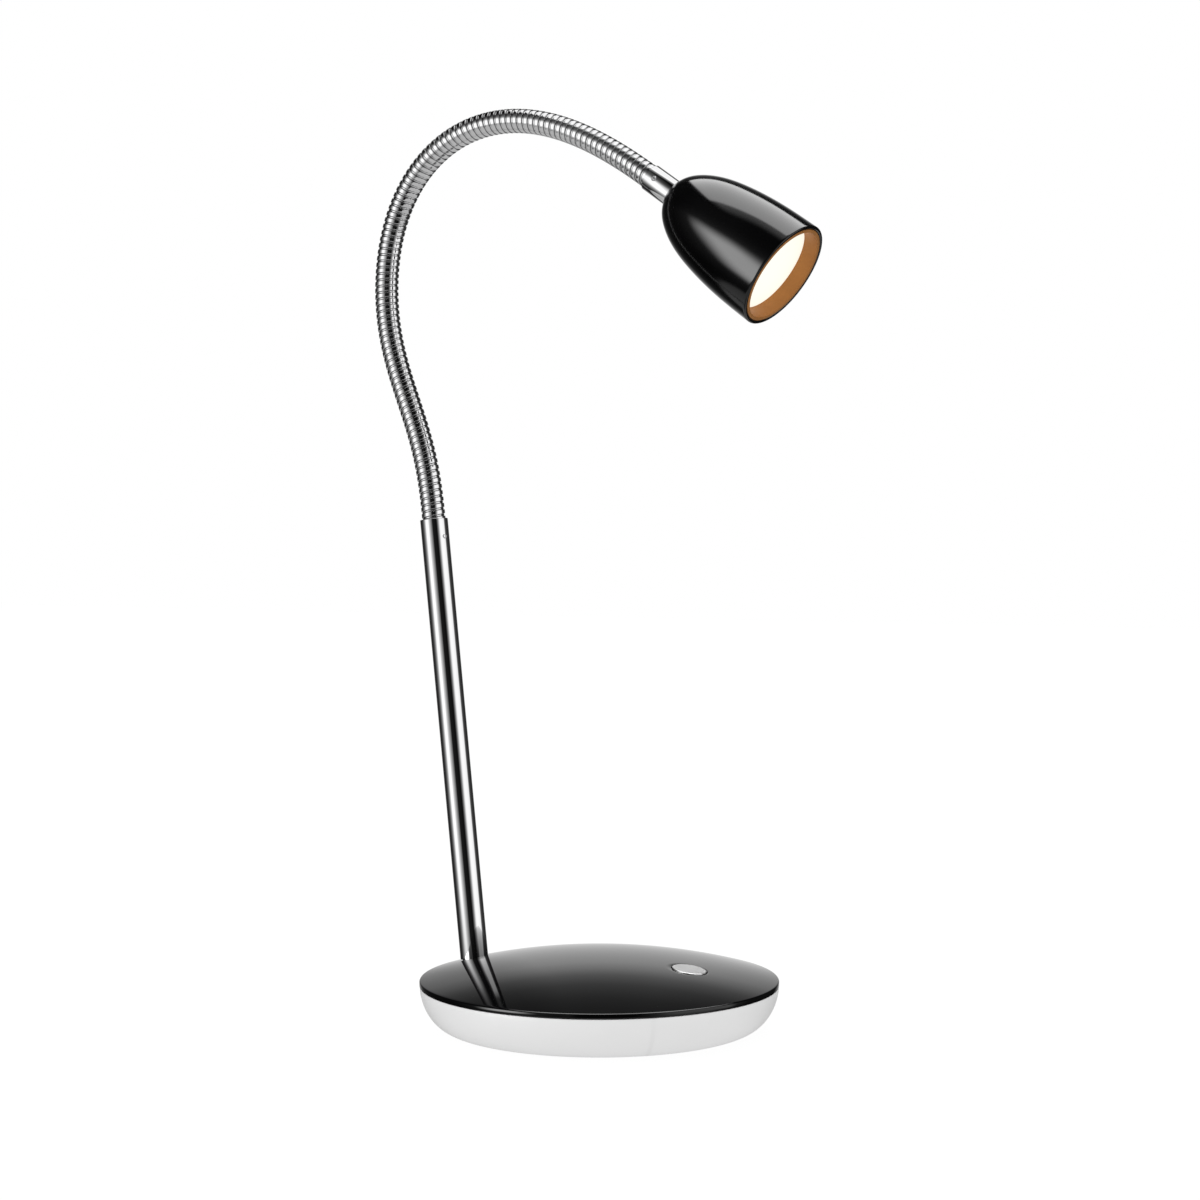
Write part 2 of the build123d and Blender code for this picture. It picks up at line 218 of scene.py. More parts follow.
# Base colour between two tones by a value from 0 to 1.
def tintBetween(tree, shader, value, dark, light):
    mix = tree.nodes.new("ShaderNodeMix")
    mix.data_type = "RGBA"
    mix.inputs["A"].default_value = (*dark, 1)
    mix.inputs["B"].default_value = (*light, 1)
    tree.links.new(value, mix.inputs["Factor"])
    tree.links.new(mix.outputs["Result"], shader.inputs["Base Color"])


# Polished plating: nearly clear mirror with faint polishing haze.
def chrome(name, low, high):
    material, tree, shader = nodeMaterial(name, Metallic=1.0)
    haze = noiseValue(tree, 180, 4)
    tree.links.new(spread(tree, haze, low, high), shader.inputs["Roughness"])
    tintBetween(tree, shader, haze, (0.86, 0.86, 0.87), (0.92, 0.92, 0.92))
    bump(tree, shader, noiseValue(tree, 260, 2), 0.000004, 0.5)
    return material


# Glossy black moulding with a faint orange-peel surface.
def blackGloss(name, low, high, index):
    material, tree, shader = nodeMaterial(name, IOR=index)
    tree.links.new(spread(tree, noiseValue(tree, 120, 3), low, high), shader.inputs["Roughness"])
    tintBetween(tree, shader, noiseValue(tree, 40, 2), (0.0012, 0.0012, 0.0014), (0.0028, 0.0028, 0.003))
    bump(tree, shader, noiseValue(tree, 450, 1), 0.000004, 0.35)
    return material


# Satin white moulding with a fine eggshell grain.
def whiteSatin():
    material, tree, shader = nodeMaterial("whiteSatin", IOR=1.45)
    tintBetween(tree, shader, noiseValue(tree, 60, 3), (0.87, 0.87, 0.87), (0.91, 0.91, 0.91))
    tree.links.new(spread(tree, noiseValue(tree, 900, 2), 0.30, 0.42), shader.inputs["Roughness"])
    bump(tree, shader, noiseValue(tree, 2200, 2), 0.00001, 0.4)
    return material


# Satin cap with brushing along one direction.
def satinMetal():
    material, tree, shader = nodeMaterial("satinMetal", Metallic=1.0)
    brushed = noiseValue(tree, 900, 3, (1, 18, 1))
    tintBetween(tree, shader, brushed, (0.60, 0.60, 0.60), (0.76, 0.76, 0.76))
    tree.links.new(spread(tree, brushed, 0.32, 0.46), shader.inputs["Roughness"])
    bump(tree, shader, brushed, 0.00001, 0.4)
    return material


# Warm lacquered band with slight mottling.
def copperBand():
    material, tree, shader = nodeMaterial("copperBand", Metallic=0.25)
    tintBetween(tree, shader, noiseValue(tree, 120, 3), (0.37, 0.145, 0.028), (0.49, 0.20, 0.042))
    tree.links.new(spread(tree, noiseValue(tree, 500, 2), 0.38, 0.5), shader.inputs["Roughness"])
    return material


# Lit opal disc, its glow tinted between two warm whites by a slow noise.
def opalLit():
    material, tree, shader = nodeMaterial("opalLit", Roughness=0.45)
    shader.inputs["Base Color"].default_value = (0.35, 0.35, 0.34, 1)
    glow = noiseValue(tree, 30, 1)
    mix = tree.nodes.new("ShaderNodeMix")
    mix.data_type = "RGBA"
    mix.inputs["A"].default_value = (1.0, 0.955, 0.82, 1)
    mix.inputs["B"].default_value = (1.0, 0.97, 0.86, 1)
    tree.links.new(glow, mix.inputs["Factor"])
    tree.links.new(mix.outputs["Result"], shader.inputs["Emission Color"])
    shader.inputs["Emission Strength"].default_value = 0.85
    return material


# Hidden pieces: one tone with a fine grain.
def plainGrain(name, colour, low, high, metallic=0.0):
    material, tree, shader = nodeMaterial(name, Metallic=metallic)
    dark = tuple(0.85 * c for c in colour)
    tintBetween(tree, shader, noiseValue(tree, 400, 3), dark, colour)
    tree.links.new(spread(tree, noiseValue(tree, 700, 2), low, high), shader.inputs["Roughness"])
    return material


# Painted shade: base colour mixed towards near-black down in the seams of the winding, and on its bore.
def paintedSeamShade(material):
    tree, shader = material.node_tree, material.node_tree.nodes["Principled BSDF"]
    depth = tree.nodes.new("ShaderNodeAttribute")
    depth.attribute_name = "seam"
    mix = tree.nodes.new("ShaderNodeMix")
    mix.data_type = "RGBA"
    mix.inputs["B"].default_value = (0.006, 0.006, 0.006, 1)
    plated = shader.inputs["Base Color"].links[0].from_socket
    tree.links.new(depth.outputs["Fac"], mix.inputs["Factor"])
    tree.links.new(plated, mix.inputs["A"])
    tree.links.new(mix.outputs["Result"], shader.inputs["Base Color"])
    return material


chromeTube = chrome("chromeTube", 0.0005, 0.003)
# neck plating, with painted shade in the seams of its winding
chromeNeck = paintedSeamShade(chrome("chromeNeck", 0.001, 0.0033))
coverBlack = blackGloss("coverBlack", 0.03, 0.06, 1.5)
shadeBlack = blackGloss("shadeBlack", 0.08, 0.12, 1.5)
bowlWhite = whiteSatin()
buttonSatin = satinMetal()
bandCopper = copperBand()
discOpal = opalLit()
darkRubber = plainGrain("darkRubber", (0.02, 0.02, 0.02), 0.7, 0.9)
greyPlastic = plainGrain("greyPlastic", (0.3, 0.3, 0.3), 0.5, 0.7)
castIron = plainGrain("castIron", (0.2, 0.2, 0.2), 0.6, 0.8, 0.7)
zincPlate = plainGrain("zincPlate", (0.55, 0.55, 0.56), 0.3, 0.45, 1.0)
bareAluminium = plainGrain("bareAluminium", (0.72, 0.73, 0.74), 0.3, 0.5, 1.0)
print("materials made")


base = dict(radius=75.0, domeRise=10.6, rimZ=19.9, partingZ=17.8, rimCorner=0.7, wall=2.0, edge=0.2,
            bowlRim=74.9, bowlFoot=62.6, bowlBottom=0.5, bowlWall=2.2, padRadius=58.1, padDepth=0.5,
            squareness=1.82, around=320, rings=72, crowding=0.9, underRings=24, rimSteps=9, bowlSteps=40,
            bowlEdge=0.2)
button = dict(circle=42.0, radius=7.2, gap=0.35, proud=0.25, edge=0.35, depth=3.2, lowEdge=0.2)
sphereRadius = (base["radius"] ** 2 + base["domeRise"] ** 2) / (2 * base["domeRise"])
sphereZ = base["rimZ"] + base["domeRise"] - sphereRadius


# Domed cover as one closed grid around the button's hole.
# Each dome point's plan is a straight blend from the hole's edge to the rim circle; its height is
# the sphere's. The rim is an arc tangent to the dome and to the upright band.
def makeCover():
    around = base["around"]
    angle = np.linspace(0, 2 * math.pi, around, endpoint=False)
    spin = np.stack([np.cos(angle), np.sin(angle)], axis=-1)
    r, corner, wall = base["radius"], base["rimCorner"], base["wall"]
    cornerZ = sphereZ + math.sqrt((sphereRadius - corner) ** 2 - (r - corner) ** 2)
    lean = math.atan2(cornerZ - sphereZ, r - corner)
    rimRadius = r - corner + corner * math.cos(lean)
    tilt = math.asin(button["circle"] / sphereRadius)
    outward = np.array([math.sin(tilt), 0, math.cos(tilt)])
    across = np.array([math.cos(tilt), 0, -math.sin(tilt)])

    # Circle about the button's axis on a sphere that lies a drop below the dome.
    def hole(radius, drop):
        size = sphereRadius - drop
        fan = spin[:, :1] * across + spin[:, 1:] * side
        return np.array([0, 0, sphereZ]) + outward * math.sqrt(size ** 2 - radius ** 2) + fan * radius

    # Rows of the dome from the hole's edge to a circle, blended in plan.
    def domeRows(radius, drop, outer, at):
        inner = hole(radius, drop)[:, :2]
        plan = (1 - at)[:, None, None] * inner + at[:, None, None] * outer * spin
        z = sphereZ + np.sqrt((sphereRadius - drop) ** 2 - (plan ** 2).sum(axis=-1))
        return np.concatenate([plan, z[..., None]], axis=-1)

    # Level circles about Z, one for each pair of radius and height.
    def circleRows(pairs):
        pairs = np.asarray(pairs)
        flat = pairs[:, 0, None, None] * spin
        high = np.broadcast_to(pairs[:, 1, None, None], flat.shape[:2] + (1,))
        return np.concatenate([flat, high], axis=-1)

    holeRadius, e = button["radius"] + button["gap"], base["edge"]
    at = np.linspace(0, 1, base["rings"]) ** base["crowding"]
    top = domeRows(holeRadius + e, 0.0, rimRadius, at)
    bend = np.linspace(lean, 0, base["rimSteps"])[1:]
    rim = circleRows(np.stack([r - corner + corner * np.cos(bend), cornerZ + corner * np.sin(bend)], axis=-1))
    low, eased = base["partingZ"], 0.3 * e
    foot = circleRows([(r, low + e), (r - eased, low + eased), (r - e, low), (r - wall, low)])
    under = domeRows(holeRadius, wall, r - wall, np.linspace(1, 0, base["underRings"]))
    lip = np.stack([hole(holeRadius, 2 * e), hole(holeRadius, e), hole(holeRadius + eased, eased)])
    points = np.concatenate([top, rim, foot, under, lip]) * mm
    made = piece("cover", points.reshape(-1, 3), gridFaces(len(points), around, True, True),
                 coverBlack, "base", 40)
    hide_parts("base_cover")


# Bowl wall: a quarter superellipse from the rim down to the flat foot, turned about Z.
def makeBowl():
    rim, foot, z0, z1 = base["bowlRim"], base["bowlFoot"], base["bowlBottom"], base["partingZ"]
    quarter = np.linspace(0, math.pi / 2, base["bowlSteps"])
    power = 2 / base["squareness"]
    outer = np.stack([foot + (rim - foot) * np.cos(quarter) ** power,
                      z1 - (z1 - z0) * np.sin(quarter) ** power], axis=-1)
    wall, e = base["bowlWall"], base["bowlEdge"]
    inner = np.stack([foot + (rim - foot - wall) * np.cos(quarter[::-2]) ** power,
                      z1 - (z1 - z0 - wall) * np.sin(quarter[::-2]) ** power], axis=-1)
    recess = z0 + base["padDepth"]
    outline = np.concatenate([
        [(0, recess), (base["padRadius"], recess), (base["padRadius"], z0)],
        outer[::-1][:-1], [(rim, z1 - e), (rim - e, z1)], [(rim - wall, z1)], inner[::-1][1:],
        [(0, z0 + wall)]])
    made = turned("bowl", outline, (0, 0, 0), np.array([0, 0, 1.0]), bowlWhite, "base",
                  base["around"], False)
    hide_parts("base_bowl")


# Flat cap with an arc at its edge, turned about the button's own axis.
def makeButton():
    tilt = math.asin(button["circle"] / sphereRadius)
    foot = np.array([0, 0, sphereZ]) + np.array([math.sin(tilt), 0, math.cos(tilt)]) * sphereRadius
    r, top, low = button["radius"], button["proud"], -button["depth"]
    outline = softCorners([(0, top, 0), (r, top, button["edge"]), (r, low, button["lowEdge"]), (0, low, 0)])
    made = turned("button", outline, foot * mm, pressAxis, buttonSatin, "button", 128, False)
    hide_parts("push_button")


makeCover()
makeBowl()
makeButton()
print("base made")


stem = dict(radius=6.0, wall=0.8, length=189.6, edge=0.3, screwHeight=8.0, screwAngle=-16.0,
            screwRadius=1.1, socketRadius=0.55, socketDepth=0.5, screwProud=0.05, screwEdge=0.15,
            screwLength=1.2, around=160, screwAround=36)
tubeMiddle = boxMiddle("stem_tube")
stemFoot = tubeMiddle - stemAxis * stem["length"] / 2 * mm
stemMouth = tubeMiddle + stemAxis * stem["length"] / 2 * mm


# Closed outline of a tube wall with eased mouth edges.
def tubeOutline(outer, inner, start, end, edge):
    return softCorners([(inner, start, edge / 2), (outer, start, edge / 2), (outer, end, edge),
                        (inner, end, edge / 2)])


def makeTube(name, foot, axis, radius, length, body, node):
    outline = tubeOutline(radius, stem["radius"] - stem["wall"], 0, length, stem["edge"])
    made = turned(name, outline, foot, axis, chromeTube, body, stem["around"])
    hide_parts(node)


# Grub screw: a short cylinder with a round socket, across a tube's wall at an angle round the tube.
def makeScrew(name, start, axis, carrier, angle, body):
    a, b = acrossOf(axis)
    turn = math.radians(angle)
    out = a * math.cos(turn) + b * math.sin(turn)
    r, socket, top = stem["screwRadius"], stem["socketRadius"], carrier + stem["screwProud"]
    floor, foot, e = top - stem["socketDepth"], top - stem["screwLength"], stem["screwEdge"]
    outline = [(0, floor), (socket, floor), (socket, top), (r - e, top), (r, top - e), (r, foot), (0, foot)]
    turned(name, outline, start, out, zincPlate, body, stem["screwAround"], False)


makeTube("stemTube", stemFoot, stemAxis, stem["radius"], stem["length"], "base", "stem_tube")
makeScrew("stemScrew", stemMouth - stemAxis * stem["screwHeight"] * mm, stemAxis, stem["radius"],
          stem["screwAngle"], "base")
print("stem made")


head = dict(ferrule=13.0, sleeve=5.7, screwOffset=4.1, screwAngle=-103.0, length=60.5, mouth=23.0, wall=1.6,
            lip=0.7, shoulder=6.3, shoulderEdge=0.35, profileSteps=110, innerFrom=22, lipSteps=7,
            ringGap=0.1, ringTaper=0.4, ringWall=1.45, ringBack=0.1, ringEdge=0.25, ledgeEdge=0.1,
            recess=6.3, disc=2.0, ledge=1.4, discGap=0.1, crown=0.25, crownRim=0.4, discEdge=0.25,
            discDrop=0.3, crownSteps=24, around=256)
# radius and length along the shade, as shares of the mouth's radius and of the whole length
shadeMarks = ((0.43, 0.042), (0.602, 0.122), (0.764, 0.252), (0.894, 0.452), (0.973, 0.702))
ferruleFoot = boxMiddle("ferrule") - shadeAxis * head["ferrule"] / 2 * mm
shadeFoot = ferruleFoot + shadeAxis * head["ferrule"] * mm


# Tulip shade: a smooth curve through its radii, turned about the head's axis, with a rounded lip.
def makeShade():
    r, n, wall, lip = head["mouth"], head["length"], head["wall"], head["lip"]
    marks = np.array([(head["shoulder"], 0)] + [(a * r, b * n) for a, b in shadeMarks] + [(r, n - lip)])
    knots = np.concatenate([[0], np.cumsum(np.linalg.norm(np.diff(marks, axis=0), axis=1))])
    at = np.linspace(0, knots[-1], head["profileSteps"])
    outer, rate = smoothThrough(knots, marks, at)
    normal = np.stack([-rate[:, 1], rate[:, 0]], axis=-1) / np.linalg.norm(rate, axis=1)[:, None]
    inner = (outer + wall * normal)[head["innerFrom"]:]
    turn = np.linspace(0, math.pi / 2, head["lipSteps"])[1:]
    outerLip = np.stack([r - lip + lip * np.cos(turn), n - lip + lip * np.sin(turn)], axis=-1)
    innerLip = np.stack([r - wall + lip - lip * np.sin(turn), n - lip + lip * np.cos(turn)], axis=-1)
    eased = softCorners([(0, 0, 0), (head["shoulder"], 0, head["shoulderEdge"]), tuple(outer[1]) + (0,)])[:-1]
    outline = np.concatenate([eased, outer[1:], outerLip, innerLip, inner[::-1], [(0, inner[0][1])]])
    made = turned("shadeShell", outline, shadeFoot, shadeAxis, shadeBlack, "head",
                  head["around"], False)
    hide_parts("shade")


# Inner band: a thin cone with a rounded front edge and a ledge behind the disc.
def makeRing():
    mouth = head["mouth"] - head["wall"] - head["ringGap"]
    back = mouth - head["ringTaper"]
    seat = head["length"] - head["recess"] - head["disc"]
    front, wall = head["length"] - head["ringBack"], head["ringWall"]
    e, f = head["ringEdge"], head["ledgeEdge"]
    outline = softCorners([(back, seat - 1, f), (mouth, front, e), (mouth - wall, front, e),
                           (back - wall, seat, f), (back - wall - head["ledge"], seat, f),
                           (back - wall - head["ledge"], seat - 1, f)])
    made = turned("mouthRing", outline, shadeFoot, shadeAxis, bandCopper, "head",
                  head["around"])
    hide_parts("inner_ring")


# Opal disc, slightly crowned, with an arc at its edge.
def makeDisc():
    radius = head["mouth"] - head["wall"] - head["ringGap"] - head["ringTaper"] - head["ringWall"]
    radius = radius - head["discGap"]
    front = head["length"] - head["recess"]
    back, f = front - head["disc"], head["ledgeEdge"]
    face = np.linspace(0, 1, head["crownSteps"])[:-1]
    crown = np.stack([(radius - head["crownRim"]) * face, front - head["crown"] * face ** 2], axis=-1)
    edge = softCorners([(radius - 1, front - head["crown"], 0),
                        (radius, front - head["discDrop"], head["discEdge"]),
                        (radius, back, f), (0, back, 0)])[1:]
    made = turned("opalDisc", np.concatenate([crown, edge]), shadeFoot, shadeAxis, discOpal, "head",
                  head["around"], False)
    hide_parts("diffuser")


makeTube("ferruleSleeve", ferruleFoot, shadeAxis, head["sleeve"], head["ferrule"], "head", "ferrule")
makeScrew("ferruleScrew", ferruleFoot + shadeAxis * head["screwOffset"] * mm, shadeAxis, head["sleeve"],
          head["screwAngle"], "head")
makeShade()
makeRing()
makeDisc()
print("head made")


# the back seam's share sets how much painted shade the seam before each band gets
neck = dict(pitch=2.728, turnsPerLink=5, endTurns=1.5, gripTurns=2.0, bore=2.75, crest=5.1, shoulder=5.05,
            seam=4.45, inset=4.72, bandShare=0.68, seamHalf=0.052, seamOut=0.02, backSeamShade=0.6, around=56,
            perTurn=28, sharp=50, bendShare=0.55, farFirst=(4, 8, 14))
lead = dict(radius=1.5, around=16, perLink=12, endTimes=4, below=11.0, beyond=38.0)
linkCount = len(neckJoints) - 1
lastTurn = linkCount * neck["turnsPerLink"] + 2 * neck["endTurns"]
jointTurns = neck["endTurns"] + neck["turnsPerLink"] * np.arange(linkCount + 1)
middles = [neck["endTurns"] + neck["turnsPerLink"] * (k + 0.5) for k in range(linkCount)]
knotTurns = np.concatenate([[0], jointTurns, [lastTurn]])
knotPoints = np.array([stemMouth] + [j["pos_m"] for j in neckJoints] + [ferruleFoot])


# Centre and direction at turn counts: a cubic through the joints, straight beyond both ends.
def centreLine(turns):
    step = neck["pitch"] * mm
    inside = np.clip(turns, 0, lastTurn)
    place, rate = smoothThrough(knotTurns, knotPoints, inside, stemAxis * step, shadeAxis * step)
    along = rate / np.linalg.norm(rate, axis=1)[:, None]
    return place + along * ((turns - inside) * step)[:, None], along


# Radius over one turn, and the share of painted shade in its seams: a crowned band, a sharp seam each
# side, and a narrow inset band between. The band falls from the crest to its shoulders with the fourth
# power of the distance from its middle, the seam is a cosine notch, and the inset band is flat.
def woundRadius(phase):
    off = np.abs(phase - 0.5)
    half = neck["bandShare"] / 2
    band = neck["crest"] - (neck["crest"] - neck["shoulder"]) * (off / half) ** 4
    away = np.abs(off - half - neck["seamOut"]) / neck["seamHalf"]
    notch = 0.5 - 0.5 * np.cos(math.pi * np.clip(1 - away, 0, 1))
    flat = np.where(off < half, band, neck["inset"])
    # painted shade follows the notch: whole in the seam after the band, a smaller share in the seam before it
    dark = notch * np.where(phase < 0.5, neck["backSeamShade"], 1.0)
    return flat - (flat - neck["seam"]) * notch, dark


# A stretch of the winding as a closed solid. Row i, column j sits at turn i / rows + j / columns, so
# the rows follow the helix and the last column meets the first one turn on; the outside is the
# centre line plus the wound radius, the bore is the same grid at the bore's radius, and a wall
# joins the two along each ragged end, which lies in the inset band.
def woundPiece(name, firstTurn, endTurn, material):
    per, around = neck["perTurn"], neck["around"]
    rows = int(round((endTurn - firstTurn) * per)) + 1
    i, j = np.arange(rows)[:, None], np.arange(around + 1)[None, :]
    place, along = centreLine((firstTurn + i / per + j / around - 0.5).reshape(-1))
    place, along = (a.reshape(rows, around + 1, 3) for a in (place, along))
    angle = (2 * math.pi * j / around)[..., None]
    spoke = np.cross(side, along) * np.cos(angle) + side * np.sin(angle)
    radius, dark = (np.broadcast_to(a, (rows, around + 1)) for a in woundRadius((i / per) % 1.0))
    outer = place + spoke * (radius * mm)[..., None]
    inner = place + spoke * neck["bore"] * mm
    verts = np.concatenate([outer.reshape(-1, 3), inner.reshape(-1, 3)])
    grid = np.arange(rows * (around + 1)).reshape(rows, around + 1)
    quads = gridFaces(rows, around + 1, False, False)
    bore = quads[:, ::-1] + grid.size
    walls = []
    startRim = np.concatenate([grid[per::-1, 0], grid[0, 1:]])
    endRim = np.concatenate([grid[-1], grid[-2:-per - 2:-1, -1]])
    for rim in (startRim, endRim):
        walls.append(np.stack([rim[:-1], rim[1:], rim[1:] + grid.size, rim[:-1] + grid.size], axis=-1))
    # share of painted shade at each point: the seams' share outside, full on the bore
    seam = np.concatenate([dark.reshape(-1), np.ones(grid.size)]).astype(np.float32)
    faces = np.concatenate([quads, bore] + walls)
    return piece(name, verts, faces, material, None, neck["sharp"], seam)


# At neck joint k, bakes a piece's placement into its mesh. It does not bend the piece, and the joints in
# farFirst take the same path as the others.
def bendAcross(made, k):
    direction = centreLine(jointTurns[k:k + 1])[1][0]
    if k in neck["farFirst"]:
        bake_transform(made)
    else:
        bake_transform(made)


print("neck joints:", len(neckJoints), "last turn:", lastTurn)
cuts = [-neck["gripTurns"]] + [round(m) for m in middles] + [lastTurn + neck["gripTurns"]]
for k in range(len(neckJoints)):
    made = woundPiece(f"neckTurns.{k + 1:02d}", cuts[k], cuts[k + 1], chromeNeck)
    bendAcross(made, k)
    nodes = ["neck_foot"] if k == 0 else [f"neck_link_{k:02d}"]
    if k == linkCount:
        nodes.append("neck_tail")
    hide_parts(*nodes)
print("neck made")


# Round lead along the centre line, one closed stretch for each joint; the first also runs down
# through the stem to below its plug, and the last runs on into the head.
def makeLeads():
    angle = np.linspace(0, 2 * math.pi, lead["around"], endpoint=False)[:, None]
    downStem = np.linalg.norm(stemMouth - boxMiddle("stem_plug")) / mm + lead["below"]
    ends = [-downStem / neck["pitch"]] + middles + [lastTurn + lead["beyond"] / neck["pitch"]]
    for k in range(len(neckJoints)):
        count = lead["perLink"] if 0 < k < linkCount else lead["endTimes"] * lead["perLink"]
        place, along = centreLine(np.linspace(ends[k], ends[k + 1], count + 1))
        across = np.cross(side, along)
        ring = across[:, None] * np.cos(angle) + side * np.sin(angle)
        tube = place[:, None] + ring * lead["radius"] * mm
        points = np.concatenate([np.broadcast_to(place[0], (1,) + tube.shape[1:]), tube,
                                 np.broadcast_to(place[-1], (1,) + tube.shape[1:])])
        made = piece(f"leadStretch.{k + 1:02d}", points.reshape(-1, 3),
                     gridFaces(len(points), lead["around"], False, True), darkRubber, None)
        bendAcross(made, k)
        if k == 0:
            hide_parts("supply_lead")


makeLeads()
print("lead made")


nodeFinish = {
    "base_weight": castIron, "foot_pad": darkRubber, "cord_gland": darkRubber, "terminal_block": greyPlastic,
    "switch_body": greyPlastic, "stem_plug": zincPlate, "stem_washer": zincPlate, "stem_nut": zincPlate,
    "base_lead": darkRubber, "switch_lead": darkRubber, "head_nipple": zincPlate, "head_nut": zincPlate,
    "heat_sink": bareAluminium, "led_board": greyPlastic,
}
for node, finish in nodeFinish.items():
    solid = bpy.data.objects[node]
    solid.data.materials.clear()
    solid.data.materials.append(finish)


view = dict(azimuth=28.5, distance=1000.0, height=208.1, right=0.3, pitch=1.722, lens=72.15, sensor=36.0,
            farClip=50.0)
# name, azimuth past the view's, distance, height and size in metres, power in watts
softLights = (("softLeft", -60, 2.0, 1.6, (1.5, 1.5), 9), ("softTop", 170, 0.6, 2.2, (1.5, 1.5), 12))
lightAim = 0.2
studio = dict(
    floorSize=8.0, floorTone=0.9, floorShare=0.9, floorWhite=1.03, floorGlow=0.84, plain=0.9, dark=0.003,
    lowestRise=0.01,
    # what mirrors see around the lamp: degrees to the camera's right, and how bright
    around=((-180, 1.0), (-176, 1.0), (-172, 0.62), (-164, 0.4), (-152, 0.08), (-135, 0.02), (-112, 0.03),
            (-100, 0.12), (-90, 0.3), (-80, 0.6), (-72, 0.9), (-62, 1.1), (-50, 1.1), (-36, 0.66),
            (-27, 0.36), (-19, 0.19), (-14, 0.012), (22, 0.003), (31, 0.2), (36, 0.4), (41, 0.72), (46, 1.1),
            (52, 1.35), (74, 1.35), (83, 0.6), (97, 0.2), (108, 0.05), (150, 0.015), (160, 0.3), (168, 0.7),
            (174, 1.0), (180, 1.0)),
    # and how far up and down that reaches, by degrees of height
    upward=((-90, 0.0), (-46, 0.0), (-36, 0.16), (-27, 0.38), (-18, 0.74), (-10, 1.0), (18, 1.0), (22, 0.82),
            (26, 0.5), (31, 0.28), (37, 0.16), (41, 0.12), (54, 0.08), (62, 0.0), (90, 0.0)),
    # the table, seen below a height, with its fade
    table=dict(edge=-27.0, fade=1.2, bright=0.6),
    # soft box at the left, in degrees to the right and up: from, to, and the fade at each end; plated
    # pieces see only a share of each box
    sideBox=dict(right=(-66, -58, 20, 20), up=(-12, 9, 7, 16), bright=7.5, plated=0.06),
    # tall panel at the right, the same way
    rightPanel=dict(right=(50, 88, 10, 12), up=(-14, 33, 10, 8), bright=1.25),
    # overhead box and the glow round it: sideways and forward from the zenith, as tangents
    topBox=dict(right=(-0.42, 0.6), front=(-0.76, 0.215), fade=0.05, bright=4.6, plated=0.22),
    topGlow=dict(right=(-0.3, 0.6), front=(-0.62, 0.3), fade=0.2, bright=1.0, plated=0.3),
    # how far the overhead boxes are skewed, and the wall's left side as mouldings see it
    skew=0.16, leftWall=dict(right=(-108, -28), fade=12, share=0.35))


# 1 where a ray is of any of the given kinds.
def rayKind(tree, *labels):
    path = tree.nodes.new("ShaderNodeLightPath")
    value = path.outputs[labels[0]]
    for label in labels[1:]:
        value = maths(tree, "MAXIMUM", value, path.outputs[label])
    return value


# One step of arithmetic on values or numbers.
def maths(tree, operation, *values):
    node = tree.nodes.new("ShaderNodeMath")
    node.operation = operation
    for socket, value in zip(node.inputs, values):
        if isinstance(value, (int, float)):
            socket.default_value = value
        else:
            tree.links.new(value, socket)
    return node.outputs[0]


# Value by straight lines between stops (at, value), both in the stops' own units.
def byStops(tree, value, stops):
    low, high = stops[0][0], stops[-1][0]
    top = max(v for _, v in stops)
    place = tree.nodes.new("ShaderNodeMapRange")
    place.inputs["From Min"].default_value = low
    place.inputs["From Max"].default_value = high
    ramp = tree.nodes.new("ShaderNodeValToRGB")
    tones = ramp.color_ramp.elements
    for k, (at, bright) in enumerate(stops):
        inside = 0 < k < len(stops) - 1
        tone = tones.new((at - low) / (high - low)) if inside else tones[-1 if k else 0]
        tone.color = (bright / top,) * 3 + (1,)
    tree.links.new(value, place.inputs["Value"])
    tree.links.new(place.outputs["Result"], ramp.inputs["Fac"])
    return maths(tree, "MULTIPLY", ramp.outputs["Color"], top)


# 1 between two marks, easing to 0 over a fade outside each.
def between(tree, value, low, high, fade, highFade=None):
    parts = []
    for a, b in ((low - fade, low), (high + (highFade or fade), high)):
        node = tree.nodes.new("ShaderNodeMapRange")
        node.interpolation_type = "SMOOTHSTEP"
        node.inputs["From Min"].default_value = a
        node.inputs["From Max"].default_value = b
        tree.links.new(value, node.inputs["Value"])
        parts.append(node.outputs["Result"])
    return maths(tree, "MULTIPLY", *parts)


